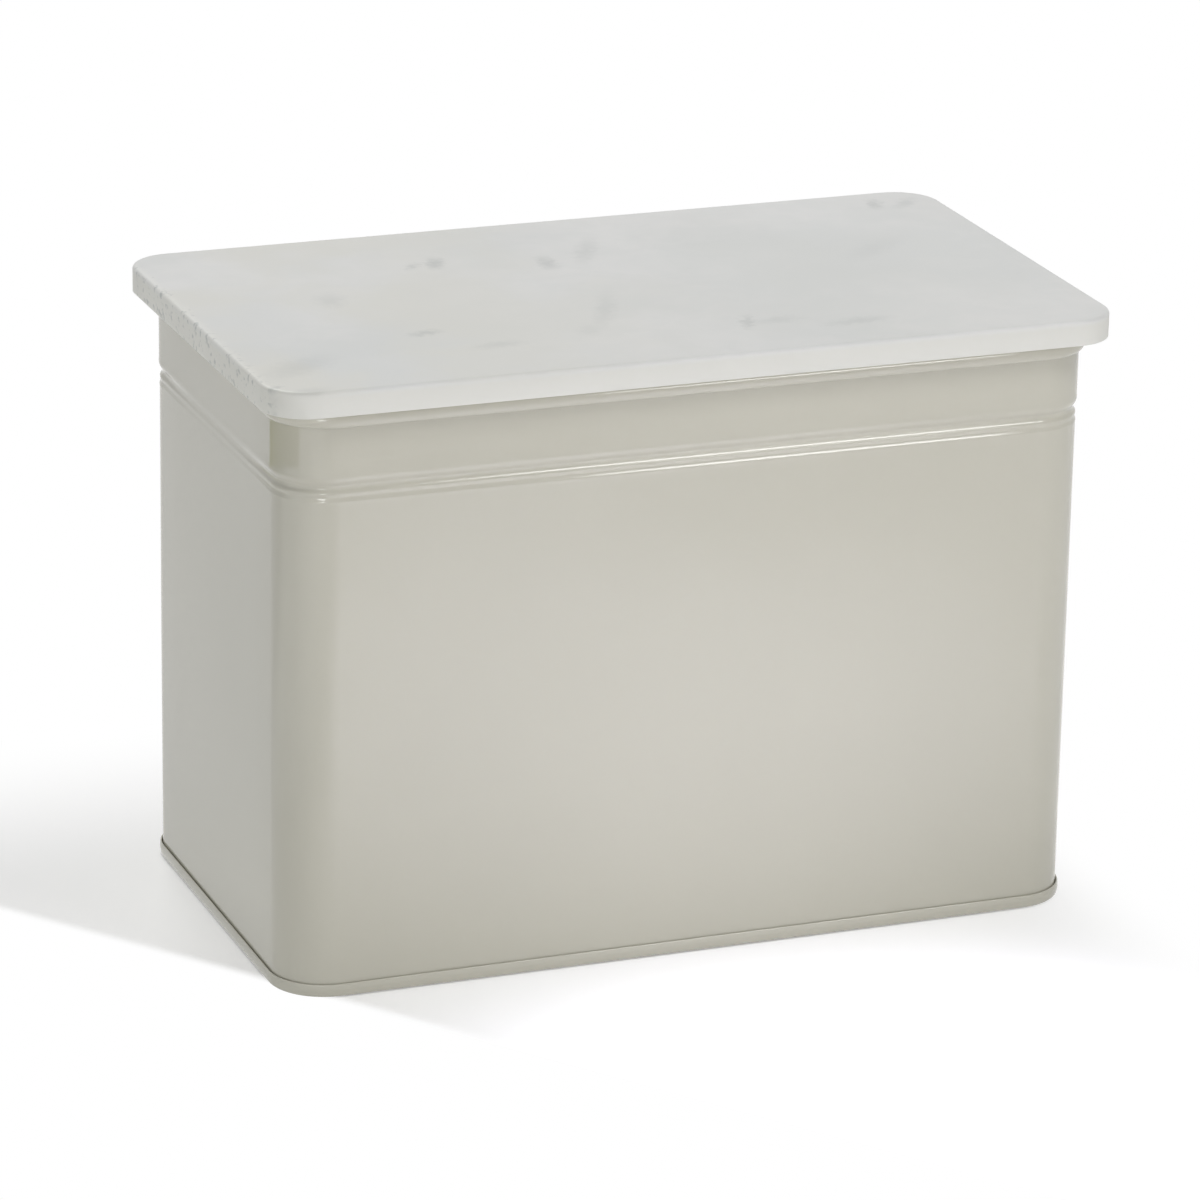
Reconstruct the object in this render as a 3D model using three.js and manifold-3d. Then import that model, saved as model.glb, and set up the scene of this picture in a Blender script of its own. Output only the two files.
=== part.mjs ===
import * as THREE from "three";
import { mergeVertices } from "three/addons/utils/BufferGeometryUtils.js";
import Module from "manifold-3d";

// A deep steel bread box with a loose marble slab as its lid.
// The origin is the middle of the footprint, on the surface that the box stands on.
// X runs along the length, Y from the front to the back and Z up, in millimetres.

// The wall, measured on the outside of its plain lower part.
const bodyLength = 320;
const bodyDepth = 176;
const bodyCornerRadius = 20.5;
const wallHeight = 227.7; // from the lower edge of the base lip to the top of the rolled rim
const sheetThickness = 0.5;

// The rim, rolled outwards, and the band below it.
const rimHeight = 6.1;
const rimProud = 2.2; // beyond the face of the band
const rimSlit = 0.35; // between the sheet's tucked edge and the wall
const bandProud = 0.25; // beyond the lower part of the wall

// The groove pressed round the wall, with the slight rib under it.
const grooveDrop = 29.5; // from the top of the rim to the middle of the groove
const grooveDepth = 1.65;
const grooveSpan = 6.6; // from the middle of the groove to the foot of the rib

// The folded seam that closes the wall at the middle of its back.
const lockSeamWidth = 7;
const lockSeamProud = 0.6;

// The base panel and the lip that it folds round the wall's lower edge.
const lipHeight = 5.1;
const lipProud = 1.2;
const floorRise = 3.2; // from the lower edge of the lip to the underside of the panel
const ribInset = 9; // of the panel's stiffening rib, from the wall
const ribWidth = 8;
const ribRise = 1.5;
const ribSlopeShare = 0.25; // of the rib's width, on each side

// The pads under the base.
const padRadius = 7;
const padInset = 32; // of a pad's middle, from the wall
const padProud = 0.4; // below the lip
const padEase = 0.6;

// The slab.
const slabOverhang = 7.5;
const slabThickness = 10;
const slabCornerRadius = 17.5;
const slabEase = 1.4;

// The steel skirt under the slab and its seal.
const skirtThickness = 0.8;
const skirtDrop = 14;
const skirtFlange = 12;
const sealThickness = 1.7;
const sealHeight = 9.5;
const sealRibDepth = 0.7;
const sealTipShares = [0.35, 0.65]; // where a seal rib's tip begins and ends, of its pitch

// Fits.
const fitGap = 0.3; // between pieces that touch
const leastCornerRadius = 1;

// How finely round stretches are divided.
const cornerSteps = 8;
const easeSteps = 3;
const rollSteps = 12;
const padSides = 32;
const sealRibs = 3;

// Levels that the pieces share.
const lipFoot = padProud;
const rimTop = lipFoot + wallHeight;
const floorUnder = lipFoot + floorRise;
const floorTop = floorUnder + sheetThickness;
const slabUnder = rimTop + fitGap;

// The sheet's line through the rib and the groove, from the foot upwards.
// Each row is a share of the span, a share of the depth and a share of the band's step.
const grooveShares = [
  [-1, 0, 0],
  [-0.86, 0.04, 0],
  [-0.74, 0.09, 0],
  [-0.62, -0.04, 0],
  [-0.5, -0.21, 0],
  [-0.38, -0.1, 0],
  [-0.29, -0.13, 0],
  [-0.19, -0.52, 0],
  [-0.07, -0.97, 0],
  [0.07, -0.97, 0],
  [0.19, -0.62, 0.2],
  [0.34, -0.26, 0.5],
  [0.52, -0.08, 0.9],
  [0.76, 0, 1],
];

const wasm = await Module();
wasm.setup();

// The points of an arc, as [outward, height].
function arc(centre, radii, from, to, steps) {
  const points = [];
  for (let i = 0; i <= steps; i++) {
    const angle = THREE.MathUtils.degToRad(from + ((to - from) * i) / steps);
    points.push([centre[0] + radii[0] * Math.cos(angle), centre[1] + radii[1] * Math.sin(angle)]);
  }
  return points;
}

// One loop round a rounded rectangle that is grown outwards, counter-clockwise seen from above.
function loop(plan, outward, height) {
  const radius = Math.max(plan.radius + outward, leastCornerRadius);
  const reachX = plan.length / 2 + outward - radius;
  const reachY = plan.depth / 2 + outward - radius;
  const corners = [
    [reachX, reachY, 0],
    [-reachX, reachY, 90],
    [-reachX, -reachY, 180],
    [reachX, -reachY, 270],
  ];
  const points = [];
  for (const [x, y, start] of corners) {
    for (const [px, py] of arc([x, y], [radius, radius], start, start + 90, cornerSteps)) {
      points.push(new THREE.Vector3(px, py, height));
    }
  }
  return points;
}

// Adds the quads between two loops of as many points.
function bridge(indices, first, second, count) {
  for (let i = 0; i < count; i++) {
    const next = (i + 1) % count;
    indices.push(first + i, first + next, second + i);
    indices.push(second + i, first + next, second + next);
  }
}

function geometryOf(points, indices) {
  const geometry = new THREE.BufferGeometry().setFromPoints(points);
  geometry.setIndex(indices);
  geometry.computeVertexNormals();
  return geometry;
}

// A closed ring: a section, counter-clockwise in [outward, height], swept round the plan.
function sweptRing(plan, section) {
  const loops = section.map(([outward, height]) => loop(plan, outward, height));
  const count = loops[0].length;
  const indices = [];
  loops.forEach((_, k) => bridge(indices, k * count, ((k + 1) % loops.length) * count, count));
  return geometryOf(loops.flat(), indices);
}

// A solid with a filled middle: its section runs from the underside's inner edge outwards, and back over the top.
function sweptPanel(plan, section) {
  const loops = section.map(([outward, height]) => loop(plan, outward, height));
  const count = loops[0].length;
  const points = loops.flat();
  const indices = [];
  for (let k = 0; k + 1 < loops.length; k++) {
    bridge(indices, k * count, (k + 1) * count, count);
  }
  const under = points.push(new THREE.Vector3(0, 0, section[0][1])) - 1;
  const over = points.push(new THREE.Vector3(0, 0, section.at(-1)[1])) - 1;
  const last = (loops.length - 1) * count;
  for (let i = 0; i < count; i++) {
    const next = (i + 1) % count;
    indices.push(under, next, i);
    indices.push(over, last + i, last + next);
  }
  return geometryOf(points, indices);
}

// The two sides of a bent sheet, as offsets of its middle line.
function sheetSide(line, offset) {
  return line.map(([outward, height], i) => {
    const before = line[Math.max(i - 1, 0)];
    const after = line[Math.min(i + 1, line.length - 1)];
    const run = [after[0] - before[0], after[1] - before[1]];
    const size = Math.hypot(...run);
    return [outward + (offset * run[1]) / size, height - (offset * run[0]) / size];
  });
}

function solidOf(geometry) {
  const bare = geometry.clone();
  bare.deleteAttribute("normal");
  bare.deleteAttribute("uv");
  const merged = mergeVertices(bare);
  const mesh = new wasm.Mesh({
    numProp: 3,
    vertProperties: merged.attributes.position.array,
    triVerts: new Uint32Array(merged.index.array),
  });
  return new wasm.Manifold(mesh);
}

function geometryOfSolid(solid) {
  const mesh = solid.getMesh();
  const geometry = new THREE.BufferGeometry();
  geometry.setAttribute("position", new THREE.BufferAttribute(mesh.vertProperties, mesh.numProp));
  geometry.setIndex(new THREE.BufferAttribute(mesh.triVerts, 1));
  geometry.computeVertexNormals();
  return geometry;
}

const bodyPlan = { length: bodyLength, depth: bodyDepth, radius: bodyCornerRadius };
const slabPlan = {
  length: bodyLength + 2 * slabOverhang,
  depth: bodyDepth + 2 * slabOverhang,
  radius: slabCornerRadius,
};

// The middle line of the wall's sheet, from its lower edge up to where the rim begins to roll.
function wallLine() {
  const middle = -sheetThickness / 2;
  const foot = lipFoot + sheetThickness + fitGap;
  const grooveLevel = rimTop - grooveDrop;
  const groove = grooveShares.map(([spanShare, depthShare, bandShare]) => [
    middle + depthShare * grooveDepth + bandShare * bandProud,
    grooveLevel + spanShare * grooveSpan,
  ]);
  return [[middle, foot], ...groove, [middle + bandProud, rimTop - rimHeight]];
}

// The middle line of the roll: over the top, down the outside, and in under it to the slit.
function rollLine() {
  const inner = bandProud - sheetThickness / 2;
  const outer = bandProud + rimProud - sheetThickness / 2;
  const radii = [(outer - inner) / 2, (rimHeight - sheetThickness) / 2];
  const centre = [(inner + outer) / 2, rimTop - rimHeight / 2];
  const tuck = bandProud + rimSlit + sheetThickness / 2;
  const share = THREE.MathUtils.clamp((tuck - centre[0]) / radii[0], -1, 1);
  const end = -THREE.MathUtils.radToDeg(Math.acos(share));
  return arc(centre, radii, 180, end, rollSteps);
}

// The folded seam up the middle of the back, which follows the wall's own line.
function lockSeam() {
  const line = wallLine();
  const face = sheetSide(line, sheetThickness / 2 + lockSeamProud);
  for (const side of [line, face]) {
    side[0][1] = lipFoot + lipHeight + fitGap;
    side.at(-1)[1] = rimTop - rimHeight - fitGap;
  }
  const corners = [...line, ...face.reverse()].map(([outward, height]) => new THREE.Vector2(outward, height));
  const seam = new THREE.ExtrudeGeometry(new THREE.Shape(corners), { depth: lockSeamWidth, bevelEnabled: false });
  seam.translate(bodyDepth / 2, 0, -lockSeamWidth / 2);
  seam.rotateX(Math.PI / 2);
  return seam.rotateZ(Math.PI / 2);
}

function binWall() {
  const line = [...wallLine(), ...rollLine()];
  const section = [...sheetSide(line, sheetThickness / 2), ...sheetSide(line, -sheetThickness / 2).reverse()];
  const wall = solidOf(sweptRing(bodyPlan, section));
  return geometryOfSolid(wall.add(solidOf(lockSeam())));
}

// The base panel with its stiffening rib. Its edge turns down inside the wall, under it and up outside it.
function basePan() {
  const inside = -sheetThickness - fitGap;
  const channelTop = lipFoot + sheetThickness;
  const lipTop = lipFoot + lipHeight;
  const lipRound = (lipProud - fitGap) / 2;
  const footRound = [sheetThickness, sheetThickness];
  const rib = (level) => [
    [-ribInset, level],
    [-ribInset - ribSlopeShare * ribWidth, level + ribRise],
    [-ribInset - (1 - ribSlopeShare) * ribWidth, level + ribRise],
    [-ribInset - ribWidth, level],
  ];
  const section = [
    ...rib(floorUnder).reverse(),
    [inside - sheetThickness, floorUnder],
    [inside - sheetThickness, lipFoot],
    ...arc([lipProud - sheetThickness, channelTop], footRound, -90, 0, easeSteps),
    ...arc([lipProud - lipRound, lipTop - lipRound], [lipRound, lipRound], 0, 180, 2 * easeSteps),
    [fitGap, channelTop],
    [inside, channelTop],
    [inside, floorTop],
    ...rib(floorTop),
  ];
  return sweptPanel(bodyPlan, section);
}

function pad() {
  const top = floorUnder - fitGap;
  const profile = [
    [0, 0],
    ...arc([padRadius - padEase, padEase], [padEase, padEase], -90, 0, easeSteps),
    [padRadius, top],
    [0, top],
  ];
  const geometry = new THREE.LatheGeometry(
    profile.map(([radius, height]) => new THREE.Vector2(radius, height)),
    padSides,
  );
  return geometry.rotateX(Math.PI / 2);
}

function marbleLid() {
  const top = slabUnder + slabThickness;
  const ease = [slabEase, slabEase];
  return sweptPanel(slabPlan, [
    ...arc([-slabEase, slabUnder + slabEase], ease, -90, 0, easeSteps),
    ...arc([-slabEase, top - slabEase], ease, 0, 90, easeSteps),
  ]);
}

// The inner face of the wall's band, which the lid's skirt and its seal go down inside.
const mouth = bandProud - sheetThickness;
const skirtFace = mouth - sealThickness - 2 * fitGap;
const skirtTop = slabUnder - fitGap;
const skirtFoot = skirtTop - skirtDrop;

// The skirt: a flange bonded under the slab, a leg down inside the wall, and a ledge that carries the seal.
function lidSkirt() {
  const back = skirtFace - skirtThickness;
  const ledge = skirtFace + sealThickness;
  return sweptRing(bodyPlan, [
    [back, skirtFoot],
    [ledge, skirtFoot],
    [ledge, skirtFoot + skirtThickness],
    [skirtFace, skirtFoot + skirtThickness],
    [skirtFace, skirtTop],
    [skirtFace - skirtFlange, skirtTop],
    [skirtFace - skirtFlange, skirtTop - skirtThickness],
    [back, skirtTop - skirtThickness],
  ]);
}

// The seal: a flat back against the skirt, and ribs towards the wall.
function lidGasket() {
  const foot = skirtFoot + skirtThickness + fitGap;
  const back = skirtFace + fitGap;
  const tip = mouth - fitGap;
  const pitch = sealHeight / sealRibs;
  const section = [[back, foot]];
  for (let i = 0; i < sealRibs; i++) {
    section.push([tip - sealRibDepth, foot + i * pitch]);
    section.push(...sealTipShares.map((share) => [tip, foot + (i + share) * pitch]));
  }
  section.push([tip - sealRibDepth, foot + sealHeight]);
  section.push([back, foot + sealHeight]);
  return sweptRing(bodyPlan, section);
}

const enamel = { color: "#c9c6b8", roughness: 0.28, metalness: 0 };
const marble = { color: "#d8d8d4", roughness: 0.45, metalness: 0 };
const silicone = { color: "#dedbd2", roughness: 0.6, metalness: 0 };
const rubber = { color: "#3a3a38", roughness: 0.8, metalness: 0 };

function piece(name, geometry, finish) {
  const mesh = new THREE.Mesh(geometry, new THREE.MeshStandardMaterial(finish));
  mesh.name = name;
  return mesh;
}

const bin = new THREE.Group();
bin.add(piece("bin_wall", binWall(), enamel));
bin.add(piece("base_pan", basePan(), enamel));
const padX = bodyLength / 2 - padInset;
const padY = bodyDepth / 2 - padInset;
const padPlaces = { front_left: [-1, -1], front_right: [1, -1], back_left: [-1, 1], back_right: [1, 1] };
for (const [place, [sideX, sideY]] of Object.entries(padPlaces)) {
  const mesh = piece("pad_" + place, pad(), rubber);
  mesh.position.set(sideX * padX, sideY * padY, 0);
  bin.add(mesh);
}

const lid = new THREE.Group();
lid.add(piece("marble_lid", marbleLid(), marble));
lid.add(piece("lid_skirt", lidSkirt(), enamel));
lid.add(piece("lid_gasket", lidGasket(), silicone));

const group = new THREE.Group();
group.add(bin, lid);
export default group;
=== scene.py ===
"""A deep steel bread box with a loose marble slab as its lid, modelled round its packed frame."""

import math
from contextlib import contextmanager
from functools import partial, reduce

import bmesh
import bpy
from bpy.props import FloatProperty, FloatVectorProperty, IntProperty, PointerProperty
from mathutils import Matrix, Vector


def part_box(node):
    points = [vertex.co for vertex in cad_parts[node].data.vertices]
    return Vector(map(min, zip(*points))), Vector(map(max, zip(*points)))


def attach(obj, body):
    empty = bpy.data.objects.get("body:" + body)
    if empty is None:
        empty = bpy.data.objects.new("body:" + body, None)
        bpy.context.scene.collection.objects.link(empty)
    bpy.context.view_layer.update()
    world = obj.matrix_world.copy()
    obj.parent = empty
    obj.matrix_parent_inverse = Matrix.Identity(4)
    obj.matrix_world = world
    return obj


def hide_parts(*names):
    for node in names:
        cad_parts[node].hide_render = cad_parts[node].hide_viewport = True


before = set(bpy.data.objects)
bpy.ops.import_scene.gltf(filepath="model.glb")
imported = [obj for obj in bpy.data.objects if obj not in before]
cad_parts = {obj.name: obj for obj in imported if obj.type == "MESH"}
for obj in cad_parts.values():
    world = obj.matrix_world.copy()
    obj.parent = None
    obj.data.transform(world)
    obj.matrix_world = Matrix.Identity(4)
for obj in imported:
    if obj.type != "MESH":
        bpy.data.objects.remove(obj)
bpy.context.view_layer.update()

bl_info = {
    "name": "Bread Box",
    "version": (1, 0, 0),
    "blender": (4, 5, 0),
    "location": "View3D > Sidebar > Bread Box",
    "description": "Models a steel bread box with a marble lid, piece by piece",
    "category": "Add Mesh",
}

# The frame's boxes, which the sizes below start from.
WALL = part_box("bin_wall")
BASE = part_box("base_pan")
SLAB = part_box("marble_lid")
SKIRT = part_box("lid_skirt")
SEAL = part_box("lid_gasket")
PADS = {
    "front_left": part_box("pad_front_left"),
    "front_right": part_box("pad_front_right"),
    "back_left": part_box("pad_back_left"),
    "back_right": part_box("pad_back_right"),
}

SEED = 0.001  # the size of a plane that is merged to one vertex
WELD = 0.000005
TOUCH = 0.00002  # how near a place counts as being on it
SIDE_STEP = 0.024  # the divisions of the straight sides are about this long
PLAIN_ROWS = 9  # divisions of the wall from the lip up to the groove
BAND_ROWS = 3  # divisions of the band from the groove up to the rim
CURVE_STEPS = 3  # divisions between two points of the groove's line
SEAM_CLEAR = 0.0003  # from the ends of the back's seam to the lip and to the rim
END_FLAT = 0.02  # half the width of the end panels' fullest part
LONG_END = 1.6  # from a long panel's end to its fullest part, in reaches of the swell
CROWN_CORE = 0.125  # half the height of a panel's fullest part, in reaches
RIB_LAND = 0.003  # from the base's rib to the rim of the flat panel inside it
SEAL_THICKNESS = 0.0017
SEAL_POINT = 0.6  # how pointed the seal's ribs are
SKIRT_FLANGE = 0.012  # from the seal's back to the flange's inner edge

# The line of the groove and of the slight rib under it, from the foot upwards.
# Each row is a share of the span, of the depth and of the band's step.
GROOVE_SHARES = (
    (-1.0, 0.0, 0.0),
    (-0.9, 0.02, 0.0),
    (-0.8, 0.07, 0.0),
    (-0.74, 0.06, 0.0),
    (-0.68, -0.05, 0.0),
    (-0.61, -0.185, 0.0),
    (-0.54, -0.28, 0.0),
    (-0.47, -0.3, 0.0),
    (-0.39, -0.2, 0.0),
    (-0.33, -0.13, 0.0),
    (-0.27, -0.13, 0.0),
    (-0.22, -0.26, 0.0),
    (-0.15, -0.6, 0.0),
    (-0.08, -0.88, 0.0),
    (-0.01, -0.99, 0.0),
    (0.09, -1.0, 0.0),
    (0.2, -0.84, 0.05),
    (0.32, -0.42, 0.4),
    (0.44, -0.12, 0.9),
    (0.56, 0.0, 1.2),
    (0.68, 0.03, 1.2),
    (0.82, 0.0, 1.0),
)

WHITE = (1.0, 1.0, 1.0, 1.0)
ENAMEL_DRIFT = 0.985  # tone of the enamel's deeper drifts
SILICONE_DRIFT = 0.94
GRIT_FINENESS = 4.3  # the grit's scale to the grain's
DRIFT = (0.35, 0.65)  # the drift's values from which to which it counts
WIDE_DRIFT = (0.3, 0.7)
WAVY = (30.0, (0.03, 0.03, 0.03))  # the scale and the reach of a push to the stone's pattern
RAGGED = (320.0, (0.007, 0.007, 0.0))
PAINTED_LIGHT_EDGE_REACH = 0.005  # width of the slab's left edge, painted paler as painted light, with small pits
# How strongly painted light pales the slab's left edge.
PAINTED_LIGHT_EDGE_TONE = 0.3
CREAM_DEPTH = 0.003  # how far down the slab's edge turns creamy
# The stone's cream is full up to the first place along X, and down to a share at the second.
CREAM_ACROSS = (-0.15, 0.06, 1.0, 0.15)

# Patchy masks: the noise's scale, detail and roughness, the values from which to which it
# counts, and the mask's least and most.
PATCHES = {
    "dust": (22.0, 5.0, 0.6, 0.38, 0.68, 0.15, 1.0),
    "clouds": (11.0, 5.0, 0.55, 0.36, 0.66, 0.0, 1.0),
    "mottle": (75.0, 4.0, 0.5, 0.35, 0.7, 0.0, 0.35),
    "cream": (9.0, 3.0, 0.5, 0.4, 0.6, 0.0, 1.0),
    "pits": (380.0, 3.0, 0.5, 0.55, 0.7, 0.0, 0.6),
}

# Grey flecks on the slab: where each lies from its middle in metres, its size, its stretch,
# its turn in degrees and its depth of tone.
FLECKS = (
    ((-0.0558, 0.0505), 0.0058, 2.1, 75, 0.46),
    ((-0.0655, 0.0485), 0.004, 2.0, 50, 0.3),
    ((-0.0143, 0.038), 0.0056, 2.3, 82, 0.38),
    ((0.006, 0.05), 0.006, 4.5, 64, 0.2),
    ((-0.0155, -0.0276), 0.006, 6.0, 66, 0.16),
    ((-0.0305, -0.0514), 0.007, 1.8, 50, 0.1),
    ((-0.09, -0.0367), 0.005, 2.0, 14, 0.38),
    ((-0.0688, -0.059), 0.006, 2.6, 5, 0.2),
    ((0.1399, 0.079), 0.0052, 2.1, 75, 0.38),
    ((0.1524, 0.077), 0.005, 2.2, 50, 0.26),
    ((0.0295, -0.0594), 0.0042, 3.0, 72, 0.34),
    ((0.0405, -0.06), 0.006, 2.6, 8, 0.18),
    ((0.07, -0.07), 0.006, 3.4, 6, 0.22),
    ((-0.1098, 0.015), 0.009, 1.6, 75, 0.2),
    ((-0.148, -0.064), 0.012, 2.2, 35, 0.24),
    ((0.115, 0.02), 0.01, 3.0, 40, 0.12),
    ((-0.164, -0.0855), 0.004, 1.2, 40, 0.45),
    ((-0.154, -0.0935), 0.007, 1.8, 5, 0.22),
)

# The area lamps: where each stands, its width and its colour. Their levels are settings.
LAMPS = {
    "key": ((0.7, -0.94, 1.62), 0.55, WHITE[:3]),
    "top": ((-0.2, 1.3, 1.9), 1.0, WHITE[:3]),
    "side": ((-1.95, -0.3, 0.45), 1.4, (0.95, 1.0, 1.0)),
    "line": ((0.88, -2.05, 0.76), 0.36, WHITE[:3]),
    "front": ((-0.9, -1.95, 0.4), 0.6, WHITE[:3]),
}
LAMP_AIM = Vector((0.0, 0.0, 0.12))
POOL_PLACE = (0.065, -0.39, 1.3)
POOL_TINT = (1.0, 0.985, 1.12)
POOL_LAMP_RADIUS = 0.05

CARD_STEPS = 24
FLOOR_RADIUS = 3.4
# The rising edge of the paper floor: how much each ring grows, and how far it rises.
FLOOR_EDGE = ((1.08, 0.03), (1.06, 0.12), (1.04, 0.25), (1.02, 0.4), (1.0, 0.6))


def length(description, default, least=0.0):
    """A length that a user may change, in metres."""
    kind = {"subtype": "DISTANCE", "unit": "LENGTH", "precision": 5, "min": least}
    return partial(FloatProperty, description=description, default=default, **kind)


def share(description, default, most=1.0):
    """A plain number from nought up."""
    return partial(FloatProperty, description=description, default=default, min=0.0, max=most)


def angle(description, default):
    """An angle, given in degrees."""
    kind = {"subtype": "ANGLE", "unit": "ROTATION", "default": math.radians(default)}
    return partial(FloatProperty, description=description, **kind)


def colour(description, default):
    """A colour of a finish, in linear values."""
    kind = {"subtype": "COLOR", "size": 3, "min": 0.0, "max": 1.0}
    return partial(FloatVectorProperty, description=description, default=default, **kind)


def count(description, default):
    """A number of divisions."""
    return partial(IntProperty, description=description, default=default, min=1)


def labelled(settings):
    """Makes the settings of a group, each with its own name as its label."""
    for name, setting in settings.__annotations__.items():
        label = name.replace("_", " ").capitalize()
        settings.__annotations__[name] = setting(name=label)
    return settings


@labelled
class WallSizes(bpy.types.PropertyGroup):
    """Sizes of the steel wall and its rolled rim."""

    sheet: length("Thickness of the steel sheet", 0.0005, 0.0001)
    corner_radius: length("Radius of the upright corners, outside", 0.0205)
    rim_height: length("Height of the rolled rim", 0.0056)
    rim_clear: length("How far the rim stays below the CAD wall's top", 0.0005)
    rim_proud: length("How far the rim stands out from the band", 0.0022)
    rim_turn: length("Radius of the rim's inner turn, at mid sheet", 0.0007)
    rim_slit: length("Gap between the tucked edge and the band", 0.00035)
    band_proud: length("How far the band stands out from the wall", 0.00025)
    groove_drop: length("From the top of the rim to the groove", 0.0295)
    groove_depth: length("Depth of the pressed groove", 0.001)
    groove_at_ends: share("Share of the groove's depth on the end panels", 0.14)
    groove_span: length("From the groove to the foot of its rib", 0.0066)
    seam_width: length("Width of the folded seam on the back", 0.007)
    seam_proud: length("How far the folded seam stands out", 0.0006)
    seam_slope: length("Width of the seam's sloping edges", 0.0005)
    crown: length("How far the long panels swell at their middle", 0.0011)
    end_crown: length("How far the end panels swell at their middle", 0.0006)
    corner_steps: count("Divisions of each upright corner", 16)
    roll_steps: count("Divisions of the rolled rim", 28)


@labelled
class BaseSizes(bpy.types.PropertyGroup):
    """Sizes of the base panel and its lip."""

    lip_height: length("Height of the lip round the wall's foot", 0.0051)
    lip_proud: length("How far the lip stands out from the wall", 0.0012)
    lip_turn: length("Rounding of the lip's lower edge", 0.0013)
    lip_hollow: length("How far the lip's face falls back at its edges", 0.0002)
    floor_rise: length("From the lip's lower edge to the panel", 0.0032)
    rib_inset: length("From the wall to the panel's rib", 0.009)
    rib_width: length("Width of the panel's rib", 0.008)
    rib_rise: length("Height of the panel's rib", 0.0015)
    play: length("Gap between pieces that touch", 0.0003)


@labelled
class PadSizes(bpy.types.PropertyGroup):
    """Sizes of the rubber pads under the base."""

    ease: length("Rounding of a pad's edge", 0.0006)
    dish: length("Depth of the hollow under a pad", 0.00035)
    land: length("Width of the ring that a pad stands on", 0.0018)


@labelled
class SlabSizes(bpy.types.PropertyGroup):
    """Sizes of the marble slab."""

    corner_radius: length("Radius of the slab's corners, seen from above", 0.0175)
    ease: length("Rounding of the slab's upper edge", 0.0014)
    under_ease: length("Rounding of the slab's lower edge", 0.0002)
    border: length("Width of the ring of faces round each flat side", 0.0015)


@labelled
class LidSizes(bpy.types.PropertyGroup):
    """Sizes of the skirt under the slab and of its seal."""

    skirt_sheet: length("Thickness of the skirt", 0.0008)
    skirt_bend: length("Radius of the skirt's bends, at mid sheet", 0.0012)
    seal_ribs: count("Number of ribs round the seal", 3)
    seal_rib_depth: length("Depth of the seal's ribs", 0.0007)
    seal_ease: length("Rounding of the seal's edges", 0.0002)


@labelled
class FinishLook(bpy.types.PropertyGroup):
    """Colours of the finishes."""

    enamel: colour("The steel's putty paint", (0.53, 0.514, 0.438))
    enamel_dust: colour("Dust on the paint", (0.6, 0.58, 0.54))
    marble: colour("The slab's plain white", (0.74, 0.738, 0.724))
    marble_cloud: colour("The slab's greyer clouds", (0.675, 0.685, 0.672))
    marble_cream: colour("The slab's creamy patches and edges", (0.7, 0.695, 0.648))
    # Painted light: this paler colour on the slab's left edge stands in for the light that falls
    # on it.
    marble_painted_light_edge: colour("The slab's rubbed left edge", (0.84, 0.83, 0.77))
    marble_fleck: colour("The slab's grey flecks", (0.36, 0.38, 0.37))
    marble_dust: colour("Dust on the slab", (0.78, 0.77, 0.74))
    silicone: colour("The seal", (0.72, 0.7, 0.64))
    rubber: colour("The pads", (0.04, 0.04, 0.038))
    rubber_worn: colour("The pads' greyer patches", (0.07, 0.068, 0.064))


@labelled
class StageLook(bpy.types.PropertyGroup):
    """The studio: camera, lamps and floor."""

    azimuth: angle("Camera's turn round the box from its front", -21.1154)
    elevation: angle("Camera's height over the horizon", 19.091)
    roll: angle("Camera's roll", 1.0269)
    distance: length("From the camera to its aim", 2.35367)
    aim_side: length("The aim's place across the view", -0.00439, -1.0)
    aim_height: length("The aim's height over the floor", 0.112237)
    lens: partial(FloatProperty, description="Focal length", default=182.73, unit="CAMERA")
    floor: share("How much light the floor gives back", 0.9)
    paper: share("Whiteness that the floor shows the camera by itself", 0.24)
    mirrored: share("Whiteness of the floor in what is mirrored", 0.45)
    mirror_start: length("Where the mirrored floor starts to whiten, left", 0.25)
    mirror_full: length("Where the mirrored floor is white, left", 0.5)
    backdrop_start: length("Where the paper starts to whiten, behind", 0.05)
    backdrop_full: length("Where the paper is fully white, behind", 0.21)
    right_start: length("Where the paper starts to whiten, right", 0.12)
    right_full: length("Where the paper is fully white, right", 0.19)
    # Painted shadow edge: in front of this line the floor is painted white for the camera, which
    # cuts the shadow off crisply.
    painted_shadow_turn: angle("Turn of the shadow's clear edge on the floor", 36.8)
    painted_shadow_line: length("How far left and forward the clear edge lies", 0.1655)
    shadow_soft: length("Half the softness of the shadow's clear edge", 0.004)
    card_away: length("From the left front corner to the low olive card", 0.63)
    card_height: length("Height of the low olive card", 0.045)
    card_start: angle("Where the card starts, turned forward from the left", 21.7)
    card_turn: angle("How far the card turns round the corner", 88)
    card_colour: colour("The low card's olive", (0.45, 0.45, 0.2))
    sky: share("Brightness of the even light from all round", 0.22, 4.0)
    key: share("Brightness of a white card in the key lamp's light", 0.28, 4.0)
    top: share("The same, of the lamp behind and overhead", 0.37, 4.0)
    side: share("The same, of the lamp on the left", 0.1, 4.0)
    line: share("The same, of the lamp that draws the bright lines", 0.072, 4.0)
    front: share("The same, of the low lamp in front", 0.155, 4.0)
    pool: share("Brightness of the pool of light on the floor in front", 1.41, 4.0)
    pool_width: share("The pool's width to its length", 0.76)
    pool_turn: angle("The pool's turn on the floor", 28)
    pool_spread: angle("Angle of the cone that lights the pool", 29.5)
    pool_blend: share("Softness of the pool's edge", 0.95)


# Hands for modelling

def take(piece):
    """Selects the piece alone and makes it active."""
    bpy.ops.object.select_all(action="DESELECT")
    piece.select_set(True)
    bpy.context.view_layer.objects.active = piece


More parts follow.
